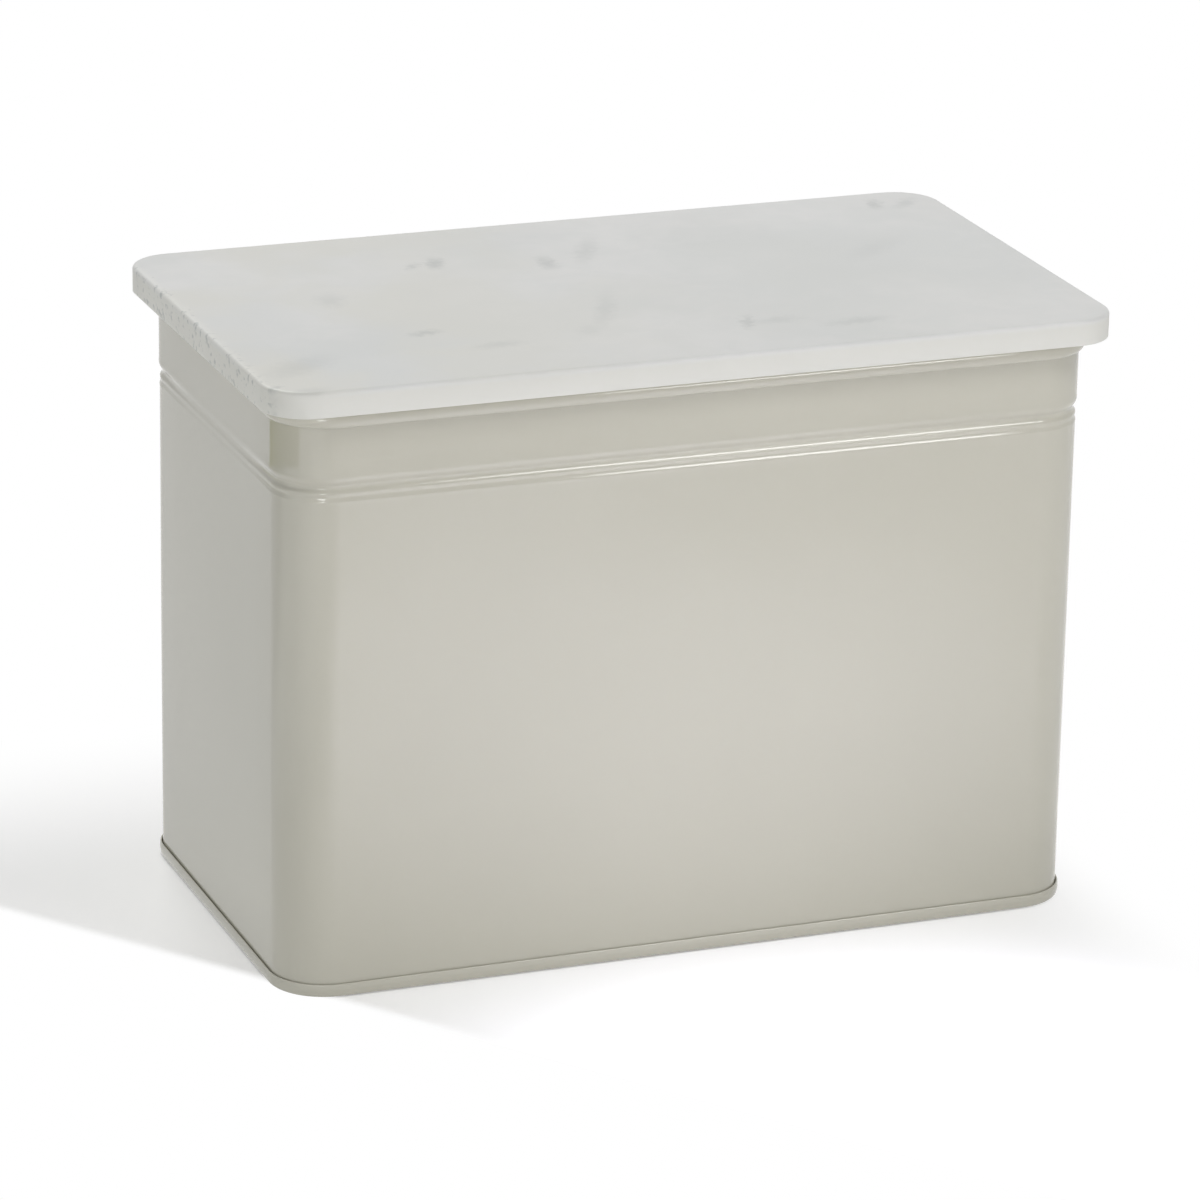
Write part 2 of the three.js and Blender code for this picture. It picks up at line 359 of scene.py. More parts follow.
@contextmanager
def editing(piece, kind="VERT"):
    """The piece in edit mode, alone, with that kind of element to select."""
    take(piece)
    bpy.ops.object.mode_set(mode="EDIT")
    bpy.ops.mesh.select_mode(type=kind)
    yield
    bpy.ops.object.mode_set(mode="OBJECT")


def middle(edge):
    """The middle of an edge."""
    return (edge.verts[0].co + edge.verts[1].co) / 2


def pick(kind, test):
    """Selects, in the piece being edited, only the elements that pass the test."""
    bpy.ops.mesh.select_mode(type=kind)
    mesh = bpy.context.edit_object.data
    work = bmesh.from_edit_mesh(mesh)
    bpy.ops.mesh.select_all(action="DESELECT")
    elements = {"VERT": work.verts, "EDGE": work.edges, "FACE": work.faces}[kind]
    chosen = [element for element in elements if test(element)]
    if not chosen:
        raise RuntimeError(f"nothing to select on {bpy.context.edit_object.name}")
    for element in chosen:
        element.select = True
    work.select_flush_mode()
    bmesh.update_edit_mesh(mesh)


def pick_all():
    """Selects all of the piece being edited."""
    bpy.ops.mesh.select_all(action="SELECT")


def extrude(way):
    """Extrudes what is selected, and moves it that way."""
    bpy.ops.mesh.extrude_region_move(TRANSFORM_OT_translate={"value": way})


def spin(steps, turn, centre):
    """Spins what is selected round an upright axis, clockwise seen from above."""
    bpy.ops.mesh.spin(steps=steps, angle=turn, center=centre, axis=(0, 0, 1))


def turn_faces(inside=False):
    """Makes every face of the piece being edited face outwards, or inwards."""
    pick_all()
    bpy.ops.mesh.normals_make_consistent(inside=inside)


def new_piece(name, add, **how):
    """A primitive added alone, with its place in its mesh."""
    add(**how)
    piece = bpy.context.object
    piece.name = piece.data.name = name
    settle(piece)
    return piece


def settle(piece):
    """Moves the object's place, turn and scale into its mesh."""
    take(piece)
    bpy.ops.object.transform_apply(location=True, rotation=True, scale=True)


def draw_section(name, start_y, points, closed=False):
    """A section of edges at mid back, extruded point by point from one vertex.

    Each point is outward from the wall's plan and height; start_y is the plan's reach in Y.
    """
    places = [Vector((0, start_y + outward, height)) for outward, height in points]
    piece = new_piece(name, bpy.ops.mesh.primitive_plane_add, size=SEED, location=places[0])
    with editing(piece):
        pick_all()
        bpy.ops.mesh.merge(type="CENTER")
        for before, after in zip(places, places[1:]):
            extrude(after - before)
        if closed:
            ends = (places[0], places[-1])
            pick("VERT", lambda v: min((v.co - end).length for end in ends) < WELD)
            bpy.ops.mesh.edge_face_add()
    return piece


def wall_plan():
    """Half the length and half the depth of the wall's plain outside, and its corner radius."""
    sizes = bpy.context.scene.bread_wall
    proud = sizes.band_proud + sizes.rim_proud
    return WALL[1].x - proud, WALL[1].y - proud, sizes.corner_radius


def swept_piece(name, points, first_steps=(), closed=False):
    """A section that is swept once round the wall's plan.

    It is extruded along the sides and spun round the corners. first_steps are the places of
    the first columns, from the middle of the back.
    """
    half_length, half_depth, radius = wall_plan()
    reach_x, reach_y = half_length - radius, half_depth - radius

    def divided(distance, starts=()):
        steps = [b - a for a, b in zip((0, *starts), starts)]
        rest = distance - sum(steps)
        number = max(1, round(rest / SIDE_STEP))
        return steps + [rest / number] * number

    back_half = divided(reach_x, first_steps)
    sides = (
        ((1, 0, 0), back_half, (reach_x, reach_y, 0)),
        ((0, -1, 0), divided(2 * reach_y), (reach_x, -reach_y, 0)),
        ((-1, 0, 0), divided(2 * reach_x), (-reach_x, -reach_y, 0)),
        ((0, 1, 0), divided(2 * reach_y), (-reach_x, reach_y, 0)),
        ((1, 0, 0), back_half[::-1], None),
    )
    corner_steps = bpy.context.scene.bread_wall.corner_steps
    piece = draw_section(name, half_depth, points, closed)
    with editing(piece):
        pick_all()
        for way, steps, centre in sides:
            for step in steps:
                extrude(Vector(way) * step)
            if centre:
                spin(corner_steps, math.pi / 2, centre)
        pick_all()
        bpy.ops.mesh.remove_doubles(threshold=WELD)
        turn_faces()
    return piece


def thicken(piece, thickness):
    """Gives a sheet its thickness, half on each side."""
    solid = piece.modifiers.new("Sheet", "SOLIDIFY")
    solid.thickness = thickness
    solid.offset = 0
    solid.use_even_offset = True
    solid.use_quality_normals = True
    take(piece)
    bpy.ops.object.modifier_apply(modifier=solid.name)


def coat(piece, material, smooth):
    """Smooths a piece up to that angle, in degrees, and gives it its finish."""
    take(piece)
    bpy.ops.object.shade_smooth_by_angle(angle=math.radians(smooth))
    piece.data.materials.append(material)


def finish_piece(piece, material, body, slot, *nodes, smooth=35):
    """Coats a piece and puts it on its body in the place of its nodes."""
    coat(piece, finish(material), smooth)
    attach(piece, body)
    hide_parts(*nodes)


def even(low, high, steps):
    """Values in even steps from low to high, with both of them."""
    return [low + (high - low) * i / steps for i in range(steps + 1)]


def arc(centre, radii, start, end, steps):
    """Points of an arc from one angle to another, in degrees."""
    points = []
    for degrees in even(start, end, steps):
        turn = math.radians(degrees)
        across, up = radii[0] * math.cos(turn), radii[1] * math.sin(turn)
        points.append((centre[0] + across, centre[1] + up))
    return points


def between(p, q, r, s, t):
    """A smooth curve's value at t on its way from q to r, with p before and s after them."""
    bend = 2 * p - 5 * q + 4 * r - s
    twist = 3 * q - p - 3 * r + s
    return 0.5 * (2 * q + (r - p) * t + bend * t**2 + twist * t**3)


def smooth_line(points, steps):
    """Points of a smooth curve through the given ones."""
    ends = [points[0], *points, points[-1]]
    line = []
    for four in zip(ends, ends[1:], ends[2:], ends[3:]):
        for t in even(0, 1, steps)[:-1]:
            line.append(tuple(between(*values, t) for values in zip(*four)))
    return [*line, points[-1]]


def ramp_line(start, end, steps=6):
    """Points of a soft step from one place to another."""
    points = []
    for t in even(0, 1, steps):
        rise = (1 - math.cos(math.pi * t)) / 2
        points.append((start[0] + (end[0] - start[0]) * t, start[1] + (end[1] - start[1]) * rise))
    return points


# The finishes

def feed(made, inputs):
    """Sets or links a node's inputs."""
    for name, value in inputs.items():
        if isinstance(value, bpy.types.NodeSocket):
            made.id_data.links.new(value, made.inputs[name])
        else:
            made.inputs[name].default_value = value


def node(tree, kind, inputs=None, **settings):
    """A node with its settings, and its inputs set or linked."""
    made = tree.nodes.new(kind)
    for name, value in settings.items():
        setattr(made, name, value)
    feed(made, inputs or {})
    return made


def after(kind, inputs, **settings):
    """The outputs of a new node in the tree of the sockets that feed it."""
    sockets = (value for value in inputs.values() if isinstance(value, bpy.types.NodeSocket))
    return node(next(sockets).id_data, kind, inputs, **settings).outputs


def spread(value, low, high, to_low, to_high):
    """The value moved smoothly from one range to another."""
    ranges = {"From Min": low, "From Max": high, "To Min": to_low, "To Max": to_high}
    inputs = {"Value": value, **ranges}
    return after("ShaderNodeMapRange", inputs, interpolation_type="SMOOTHSTEP")["Result"]


def sums(operation, *values):
    """The values put together, one after another, by one kind of arithmetic."""

    def step(first, second):
        return after("ShaderNodeMath", {0: first, 1: second}, operation=operation)["Value"]

    return reduce(step, values)


def vectors(operation, *values):
    """The outputs of one step of arithmetic on vectors."""
    return after("ShaderNodeVectorMath", dict(enumerate(values)), operation=operation)


def axes(vector):
    """The X, Y and Z of a vector."""
    return after("ShaderNodeSeparateXYZ", {"Vector": vector})


def noise(place, scale, detail, roughness=0.5):
    """The outputs of a noise."""
    inputs = {"Vector": place, "Scale": scale, "Detail": detail, "Roughness": roughness}
    return after("ShaderNodeTexNoise", inputs)


def patches(kind, place):
    """A patchy mask of that kind."""
    scale, detail, roughness, *ranges = PATCHES[kind]
    return spread(noise(place, scale, detail, roughness)["Fac"], *ranges)


def shaken(place, scale, reach):
    """The place pushed about by a noise, as far as the reach goes."""
    pushes = vectors("SUBTRACT", noise(place, scale, 3.0)["Color"], (0.5, 0.5, 0.5))["Vector"]
    return vectors("ADD", place, vectors("MULTIPLY", pushes, reach)["Vector"])["Vector"]


def full(rgb):
    """A colour with its alpha."""
    return (*rgb, 1.0)


def layered(ground, *layers):
    """A colour under layers, each a mask and the colour that shows through it."""
    tone = full(ground)
    for mask, above in layers:
        inputs = {0: mask, 6: tone, 7: full(above)}
        tone = after("ShaderNodeMix", inputs, data_type="RGBA")[2]
    return tone


def new_group(name, values, outputs):
    """A node group that takes a place and values, and puts out values."""
    tree = bpy.data.node_groups.new(name, "ShaderNodeTree")
    tree.interface.new_socket("Place", in_out="INPUT", socket_type="NodeSocketVector")
    for label, default in values.items():
        socket = tree.interface.new_socket(label, in_out="INPUT", socket_type="NodeSocketFloat")
        socket.default_value = default
    for label in outputs:
        tree.interface.new_socket(label, in_out="OUTPUT", socket_type="NodeSocketFloat")
    return tree, node(tree, "NodeGroupInput").outputs, node(tree, "NodeGroupOutput")


def grain_group():
    """Fine grain: a broad drift of tone, and a height for the surface's fine unevenness."""
    if "Fine grain" in bpy.data.node_groups:
        return bpy.data.node_groups["Fine grain"]
    values = {"Drift scale": 8.0, "Grain scale": 400.0, "Grit": 0.3}
    tree, entry, leave = new_group("Fine grain", values, ("Drift", "Height"))
    place, scale = entry["Place"], entry["Grain scale"]
    drift = noise(place, entry["Drift scale"], 2.0)["Fac"]
    grain = noise(place, scale, 1.0)["Fac"]
    grit = noise(place, sums("MULTIPLY", scale, GRIT_FINENESS), 2.0)["Fac"]
    height = sums("ADD", grain, sums("MULTIPLY", grit, entry["Grit"]))
    feed(leave, {"Drift": drift, "Height": height})
    return tree


def dust_group():
    """Settled dust: a thin patchy film on what faces up."""
    if "Settled dust" in bpy.data.node_groups:
        return bpy.data.node_groups["Settled dust"]
    tree, entry, leave = new_group("Settled dust", {"Amount": 0.1}, ("Film",))
    up = axes(node(tree, "ShaderNodeNewGeometry").outputs["Normal"])["Z"]
    facing = spread(up, 0.25, 1.0, 0.0, 1.0)
    film = sums("MULTIPLY", facing, patches("dust", entry["Place"]), entry["Amount"])
    feed(leave, {"Film": film})
    return tree


def dust(place, amount):
    """The mask of the settled dust."""
    inputs = {"Place": place, "Amount": amount}
    return after("ShaderNodeGroup", inputs, node_tree=dust_group())["Film"]


def enamel(place, drift, look):
    """Putty paint, with faint drifts of tone and a little dust."""
    deeper = [value * ENAMEL_DRIFT for value in look.enamel]
    drifted = spread(drift, *DRIFT, 0.0, 1.0)
    return layered(look.enamel, (drifted, deeper), (dust(place, 0.04), look.enamel_dust))


def fleck_mask(place, centre, size, stretch, turn, depth):
    """One grey fleck of the stone, strongest at its middle."""
    inputs = {
        "Vector": place,
        "Location": (*centre, 0.0),
        "Rotation": (0.0, 0.0, math.radians(turn)),
        "Scale": (size * stretch, size, 0.0),
    }
    own_place = after("ShaderNodeMapping", inputs, vector_type="TEXTURE")["Vector"]
    return spread(vectors("LENGTH", own_place)["Value"], 0.0, 1.0, depth, 0.0)


def marble(place, drift, look):
    """White stone: faint clouds, cream, small grey flecks, small pits on the left edge, and that
    edge painted paler, which is painted light.
    """
    left, top = SLAB[0].x, SLAB[1].z
    wavy, ragged = shaken(place, *WAVY), shaken(place, *RAGGED)
    apart = axes(ragged)
    cream = sums("MULTIPLY", patches("cream", wavy), spread(apart["X"], *CREAM_ACROSS))
    sides = spread(apart["Z"], top - CREAM_DEPTH, top, 1.0, 0.0)
    # Painted light: this mask pales the slab's left edge as if more light fell there; it also
    # holds the edge's small pits.
    worn = spread(apart["X"], left, left + PAINTED_LIGHT_EDGE_REACH, 1.0, 0.0)
    flecks = sums("MAXIMUM", *(fleck_mask(ragged, *fleck) for fleck in FLECKS))
    return layered(
        look.marble,
        (patches("clouds", wavy), look.marble_cloud),
        (patches("mottle", wavy), look.marble_cloud),
        (sums("MAXIMUM", cream, sides), look.marble_cream),
        # Painted light on the slab's left edge.
        (sums("MULTIPLY", worn, PAINTED_LIGHT_EDGE_TONE), look.marble_painted_light_edge),
        (sums("MULTIPLY", patches("pits", place), worn), look.marble_fleck),
        (sums("MULTIPLY", flecks, spread(sides, 0.0, 1.0, 1.0, 0.25)), look.marble_fleck),
        (dust(place, 0.05), look.marble_dust),
    )


def silicone(place, drift, look):
    """Milky silicone, with soft drifts of tone."""
    deeper = [value * SILICONE_DRIFT for value in look.silicone]
    return layered(look.silicone, (spread(drift, *DRIFT, 0.0, 1.0), deeper))


def rubber(place, drift, look):
    """Dark rubber, greyed in patches."""
    return layered(look.rubber, (spread(drift, *WIDE_DRIFT, 0.0, 0.5), look.rubber_worn))


# The finishes: what gives the tone, the scales of drift and grain with the grit, the roughness
# that drifts, the bump's strength and depth, and the shader's other values.
FINISHES = {
    "Putty enamel": (
        enamel,
        (9.0, 260.0, 0.12),
        (0.3, 0.36),
        (0.05, 0.0002),
        {"IOR": 1.5, "Specular IOR Level": 0.0, "Coat Weight": 1.0, "Coat Roughness": 0.08},
    ),
    "Honed marble": (marble, (14.0, 700.0, 0.5), (0.4, 0.52), (0.12, 0.0001), {"IOR": 1.49}),
    "Milky silicone": (
        silicone,
        (30.0, 900.0, 0.4),
        (0.48, 0.6),
        (0.15, 0.0001),
        {"IOR": 1.41, "Subsurface Weight": 0.15, "Subsurface Scale": 0.002},
    ),
    "Pad rubber": (rubber, (120.0, 1800.0, 0.6), (0.7, 0.85), (0.3, 0.0002), {}),
}


def emptied(owner):
    """The node tree of a material or a world, without its first nodes."""
    owner.use_nodes = True
    owner.node_tree.nodes.clear()
    return owner.node_tree


def finish(name):
    """The material of that name, built when it is first asked for."""
    if name in bpy.data.materials:
        return bpy.data.materials[name]
    tone, (drift_scale, grain_scale, grit), roughness, (strength, depth), others = FINISHES[name]
    material = bpy.data.materials.new(name)
    tree = emptied(material)
    place = node(tree, "ShaderNodeTexCoord").outputs["Object"]
    scales = {"Drift scale": drift_scale, "Grain scale": grain_scale, "Grit": grit}
    grain = after("ShaderNodeGroup", {"Place": place, **scales}, node_tree=grain_group())
    heights = {"Height": grain["Height"], "Strength": strength, "Distance": depth}
    inputs = {
        "Base Color": tone(place, grain["Drift"], bpy.context.scene.bread_finish),
        "Roughness": spread(grain["Drift"], *WIDE_DRIFT, *roughness),
        "Normal": after("ShaderNodeBump", heights)["Normal"],
        **others,
    }
    shader = node(tree, "ShaderNodeBsdfPrincipled", inputs)
    node(tree, "ShaderNodeOutputMaterial", {"Surface": shader.outputs["BSDF"]})
    return material


def seen_rays(tree):
    """One for the rays of the camera, of gloss and of glass, and nought for the light's own."""
    rays = node(tree, "ShaderNodeLightPath").outputs
    kinds = ("Is Camera Ray", "Is Glossy Ray", "Is Transmission Ray")
    return sums("MINIMUM", sums("ADD", *(rays[kind] for kind in kinds)), 1.0)


def paper_finish():
    """White studio paper, which keeps the shadow and shows the camera white; the shadow's clear
    front edge is painted.
    """
    look = bpy.context.scene.bread_stage
    material = bpy.data.materials.new("Studio paper")
    tree = emptied(material)
    seen = seen_rays(tree)
    straight = node(tree, "ShaderNodeLightPath").outputs["Is Camera Ray"]
    place = node(tree, "ShaderNodeTexCoord").outputs["Object"]
    apart = axes(place)
    back = spread(apart["Y"], look.backdrop_start, look.backdrop_full, 0.0, 1.0)
    right = spread(apart["X"], look.right_start, look.right_full, 0.0, 1.0)
    # Painted shadow edge: the floor is white to the camera in front of a line from the left front
    # corner, which gives the shadow its clear edge.
    way = (-math.cos(look.painted_shadow_turn), -math.sin(look.painted_shadow_turn), 0.0)
    line = vectors("DOT_PRODUCT", place, way)["Value"]
    edge, soft = look.painted_shadow_line, look.shadow_soft
    front = spread(line, edge - soft, edge + soft, 0.0, 1.0)
    mirrored = spread(apart["X"], -look.mirror_full, -look.mirror_start, 1.0, look.mirrored)
    own = sums("MULTIPLY", seen, spread(straight, 0.0, 1.0, mirrored, look.paper))
    around = sums("MULTIPLY", sums("MAXIMUM", front, right), straight)
    white = sums("MAXIMUM", sums("MULTIPLY", back, seen), around)
    bare = sums("SUBTRACT", 1.0, white)
    strength = sums("ADD", sums("MULTIPLY", own, bare), white)
    glow = after("ShaderNodeEmission", {"Color": WHITE, "Strength": strength})["Emission"]
    plain = after("ShaderNodeBsdfDiffuse", {"Color": sums("MULTIPLY", bare, look.floor)})["BSDF"]
    both = after("ShaderNodeAddShader", {0: glow, 1: plain})["Shader"]
    node(tree, "ShaderNodeOutputMaterial", {"Surface": both})
    return material


def card_finish():
    """Olive card that glows by itself and is seen only in gloss: a painted dark reflection on the
    box.
    """
    material = bpy.data.materials.new("Studio card")
    tree = emptied(material)
    olive = full(bpy.context.scene.bread_stage.card_colour)
    glow = node(tree, "ShaderNodeEmission", {"Color": olive})
    node(tree, "ShaderNodeOutputMaterial", {"Surface": glow.outputs["Emission"]})
    return material


# The pieces

class BREADBOX_OT_wall(bpy.types.Operator):
    """Model the steel wall with its groove, its rolled rim and its folded back seam"""

    bl_idname = "breadbox.wall"
    bl_label = "Steel Wall"

    def section(self, sizes):
        """The middle line of the sheet, from its foot up and round the roll."""
        inner = -sizes.sheet / 2
        band = inner + sizes.band_proud
        rim_top = WALL[1].z - sizes.rim_clear
        rim_low = rim_top - sizes.rim_height
        groove_level = WALL[1].z - sizes.groove_drop
        groove = [
            (
                inner + depth * sizes.groove_depth + step * sizes.band_proud,
                groove_level + span * sizes.groove_span,
            )
            for span, depth, step in GROOVE_SHARES
        ]
        self.seam_low = BASE[0].z + bpy.context.scene.bread_base.lip_height + SEAM_CLEAR
        self.seam_high = rim_low - SEAM_CLEAR
        low, high = self.seam_low + sizes.seam_slope, groove[0][1]
        line = [(inner, WALL[0].z), (inner, self.seam_low)]
        line += [(inner, height) for height in even(low, high, PLAIN_ROWS)[:-1]]
        line += smooth_line(groove, CURVE_STEPS)
        low, high = groove[-1][1], self.seam_high - sizes.seam_slope
        line += [(band, height) for height in even(low, high, BAND_ROWS)[1:]]
        line += [(band, self.seam_high), (band, rim_low)]
        turn = sizes.rim_turn
        line += arc((band + turn, rim_top - sizes.sheet / 2 - turn), (turn, turn), 180, 90, 6)
        centre = (band + turn, rim_top - sizes.rim_height / 2)
        radii = (sizes.rim_proud - turn, (sizes.rim_height - sizes.sheet) / 2)
        tuck = sizes.band_proud + sizes.rim_slit + sizes.sheet / 2
        end = -math.degrees(math.acos((tuck - centre[0]) / radii[0]))
        return line + arc(centre, radii, 90, end, sizes.roll_steps)[1:]

    def fold_seam(self, piece, sizes):
        """Raises a strip up the middle of the back."""
        top = sizes.seam_width / 2 - sizes.seam_slope
        low = self.seam_low + sizes.seam_slope / 2
        high = self.seam_high - sizes.seam_slope / 2

        def on_seam(v):
            return v.co.y > 0 and abs(v.co.x) < top + TOUCH and low < v.co.z < high

        with editing(piece):
            pick("VERT", on_seam)
            bpy.ops.transform.translate(value=(0, sizes.seam_proud, 0))

    def ease_ends(self, piece, sizes):
        """Makes the groove shallower on the end panels, away from the corners."""
        half_length, half_depth, radius = wall_plan()
        level = WALL[1].z - sizes.groove_drop
        for side in (-1, 1):
            face = side * half_length

            def in_groove(v):
                return (
                    abs(v.co.x - face) < 3 * sizes.groove_depth
                    and abs(v.co.y) < half_depth - radius - TOUCH
                    and abs(v.co.z - level) < sizes.groove_span * 0.99
                )

            with editing(piece):
                pick("VERT", in_groove)
                bpy.ops.transform.resize(
                    value=(sizes.groove_at_ends, 1, 1),
                    center_override=(face - side * sizes.sheet / 2, 0, 0),
                )

    def crown(self, piece, sizes):
        """Swells each panel a little at its middle, as drawn sheet does."""
        half_length, half_depth, _ = wall_plan()
        low, high = BASE[1].z, WALL[1].z - sizes.groove_drop - sizes.groove_span
        level, reach = (low + high) / 2, (high - low) / 2
        long_flat = half_length - reach * LONG_END
        pushes = (
            ((0, -1, 0), half_depth, long_flat, sizes.crown),
            ((0, 1, 0), half_depth, long_flat, sizes.crown),
            ((1, 0, 0), half_length, END_FLAT, sizes.end_crown),
            ((-1, 0, 0), half_length, END_FLAT, sizes.end_crown),
        )
        with editing(piece):
            for way, face, flat, rise in pushes:
                outward = Vector(way)
                across = Vector((abs(outward.y), abs(outward.x), 0))

                def on_panel(v):
                    return (
                        abs(v.co.dot(outward) - face) < 2 * sizes.sheet
                        and abs(v.co.dot(across)) < flat
                        and abs(v.co.z - level) < reach * CROWN_CORE
                    )

                pick("VERT", on_panel)
                bpy.ops.transform.translate(
                    value=outward * rise,
                    use_proportional_edit=True,
                    proportional_edit_falloff="SMOOTH",
                    proportional_size=reach * 0.98,
                )

    def execute(self, context):
        sizes = context.scene.bread_wall
        top = sizes.seam_width / 2 - sizes.seam_slope
        columns = (top / 2, top, sizes.seam_width / 2)
        piece = swept_piece("steel_wall", self.section(sizes), columns)
        self.ease_ends(piece, sizes)
        self.crown(piece, sizes)
        self.fold_seam(piece, sizes)
        thicken(piece, sizes.sheet)
        finish_piece(piece, "Putty enamel", "bin", "enamel", "bin_wall")
        return {"FINISHED"}


class BREADBOX_OT_base(bpy.types.Operator):
    """Model the base panel with its pressed rib and the lip round the wall's foot"""

    bl_idname = "breadbox.base"
    bl_label = "Base Panel"

    def section(self, sizes, sheet):
        """From the underside's inner edge out round the lip, and back over the top."""
        foot = BASE[0].z
        under = foot + sizes.floor_rise
        over = under + sheet
        inside = -sheet - sizes.play
        turn = sizes.lip_turn
        lip_round = (sizes.lip_proud - sizes.play) / 2
        face_high = foot + sizes.lip_height - lip_round
        slope = sizes.rib_width / 3
        ease = sheet * 0.8
        outer = -sizes.rib_inset
        inner = outer - sizes.rib_width
        edge = inner - RIB_LAND

        def rib(level):
            crest = level + sizes.rib_rise
            rise = ramp_line((outer, level), (outer - slope, crest))
            return rise + ramp_line((inner + slope, crest), (inner, level))

        fall = [sizes.lip_hollow * (1 - math.sin(math.pi * t)) for t in even(0, 1, 8)]
        heights = even(foot + turn, face_high, 8)
        face = [(sizes.lip_proud - back, height) for back, height in zip(fall, heights)]
        hem_round = (face[-1][0] - sizes.play) / 2
        return [
            (edge, under),
            *reversed(rib(under)),
            (inside - sheet - ease, under),
            (inside - sheet, under - ease),
            (inside - sheet, foot + ease),
            *arc((inside - sheet + ease, foot + ease), (ease, ease), 180, 270, 4)[1:],
            *arc((face[0][0] - turn, foot + turn), (turn, turn), -90, 0, 8),
            *face[1:],
            *arc((sizes.play + hem_round, face_high), (hem_round, lip_round), 0, 180, 8)[1:],
            (sizes.play, foot + sheet),
            (inside, foot + sheet),
            *arc((inside - ease, over - ease), (ease, ease), 0, 90, 4),
            *rib(over),
            (edge, over),
        ]

    def execute(self, context):
        points = self.section(context.scene.bread_base, context.scene.bread_wall.sheet)
        piece = swept_piece("base_panel", points)
        with editing(piece):
            for level in (points[0][1], points[-1][1]):
                pick("EDGE", lambda e: e.is_boundary and abs(middle(e).z - level) < TOUCH)
                bpy.ops.mesh.edge_face_add()
            turn_faces()
        finish_piece(piece, "Putty enamel", "bin", "enamel", "base_pan")
        return {"FINISHED"}


class BREADBOX_OT_pads(bpy.types.Operator):
    """Model one rubber pad and set four of them under the base"""

    bl_idname = "breadbox.pads"
    bl_label = "Rubber Pads"

    def execute(self, context):
        sizes = context.scene.bread_pads
        low, high = PADS["front_left"]
        radius = (high.x - low.x) / 2
        rims = (radius, radius - sizes.land)

        def on_rim(e):
            near, far = (v.co.xy.length for v in e.verts)
            level = abs(middle(e).z - low.z) < TOUCH and abs(near - far) < TOUCH
            return level and min(abs(near - rim) for rim in rims) < TOUCH

        first = new_piece(
            "rubber_pad",
            bpy.ops.mesh.primitive_circle_add,
            vertices=48,
            radius=radius,
            fill_type="NGON",
            location=(0, 0, low.z),
        )
        with editing(first, "FACE"):
            pick_all()
            extrude((0, 0, high.z - low.z))
            turn_faces()
            pick("FACE", lambda f: f.normal.z < -0.9)
            bpy.ops.mesh.inset(thickness=sizes.land)
            bpy.ops.mesh.inset(thickness=sizes.dish, depth=-sizes.dish)
            pick("EDGE", on_rim)
            bpy.ops.mesh.bevel(offset=sizes.ease / 2, segments=3)
        for place, (near, far) in PADS.items():
            take(first)
            bpy.ops.object.duplicate()
            pad = context.object
            pad.name = pad.data.name = "rubber_pad_" + place
            pad.location = ((near.x + far.x) / 2, (near.y + far.y) / 2, 0)
            settle(pad)
            finish_piece(pad, "Pad rubber", "bin", "pad_rubber", "pad_" + place)
        bpy.data.objects.remove(first)
        return {"FINISHED"}


class BREADBOX_OT_slab(bpy.types.Operator):
    """Model the marble slab, with its rounded corners and eased edges"""

    bl_idname = "breadbox.slab"
    bl_label = "Marble Slab"

    def execute(self, context):
        sizes = context.scene.bread_slab
        low, high = SLAB
        span = high - low
        cuts_of_sides = (
            (150, lambda e: middle(e).x < low.x + TOUCH),
            (60, lambda e: middle(e).x > high.x - TOUCH),
            (110, lambda e: abs(abs(middle(e).y) - high.y) < TOUCH),
        )
        eases = ((low.z, sizes.under_ease, 3), (high.z, sizes.ease, 5))
        add = bpy.ops.mesh.primitive_plane_add
        piece = new_piece("marble_slab", add, size=1, location=(0, 0, low.z))
        with editing(piece):
            pick_all()
            bpy.ops.transform.resize(value=(span.x, span.y, 1))
            bpy.ops.mesh.bevel(affect="VERTICES", offset=sizes.corner_radius, segments=14)
            for cuts, on_side in cuts_of_sides:
                pick("EDGE", on_side)
                bpy.ops.mesh.subdivide(number_cuts=cuts)
            pick_all()
            extrude((0, 0, span.z))
            turn_faces()
            for level, ease, steps in eases:
                pick("EDGE", lambda e: all(abs(v.co.z - level) < TOUCH for v in e.verts))
                bpy.ops.mesh.bevel(offset=ease, segments=steps)
            pick("FACE", lambda f: abs(f.normal.z) > 0.99 and len(f.verts) > 100)
            bpy.ops.mesh.inset(thickness=sizes.border)
        finish_piece(piece, "Honed marble", "lid", "marble", "marble_lid")
        return {"FINISHED"}


class BREADBOX_OT_skirt(bpy.types.Operator):
    """Model the steel skirt that is bonded under the slab"""

    bl_idname = "breadbox.skirt"
    bl_label = "Lid Skirt"

    def execute(self, context):
        sizes = context.scene.bread_lid
        low, high = SKIRT
        half = sizes.skirt_sheet / 2
        ledge = high.x - wall_plan()[0]
        seal_back = ledge - SEAL_THICKNESS
        leg = seal_back - half
        bend = sizes.skirt_bend
        top, foot = high.z - half, low.z + half
        points = [
            (seal_back - SKIRT_FLANGE, top),
            *arc((leg - bend, top - bend), (bend, bend), 90, 0, 6),
            *arc((leg + bend / 2, foot + bend / 2), (bend / 2, bend / 2), 180, 270, 5),
            (ledge, foot),
        ]
        piece = swept_piece("lid_skirt_ring", points)
        thicken(piece, sizes.skirt_sheet)
        finish_piece(piece, "Putty enamel", "lid", "enamel", "lid_skirt")
        return {"FINISHED"}


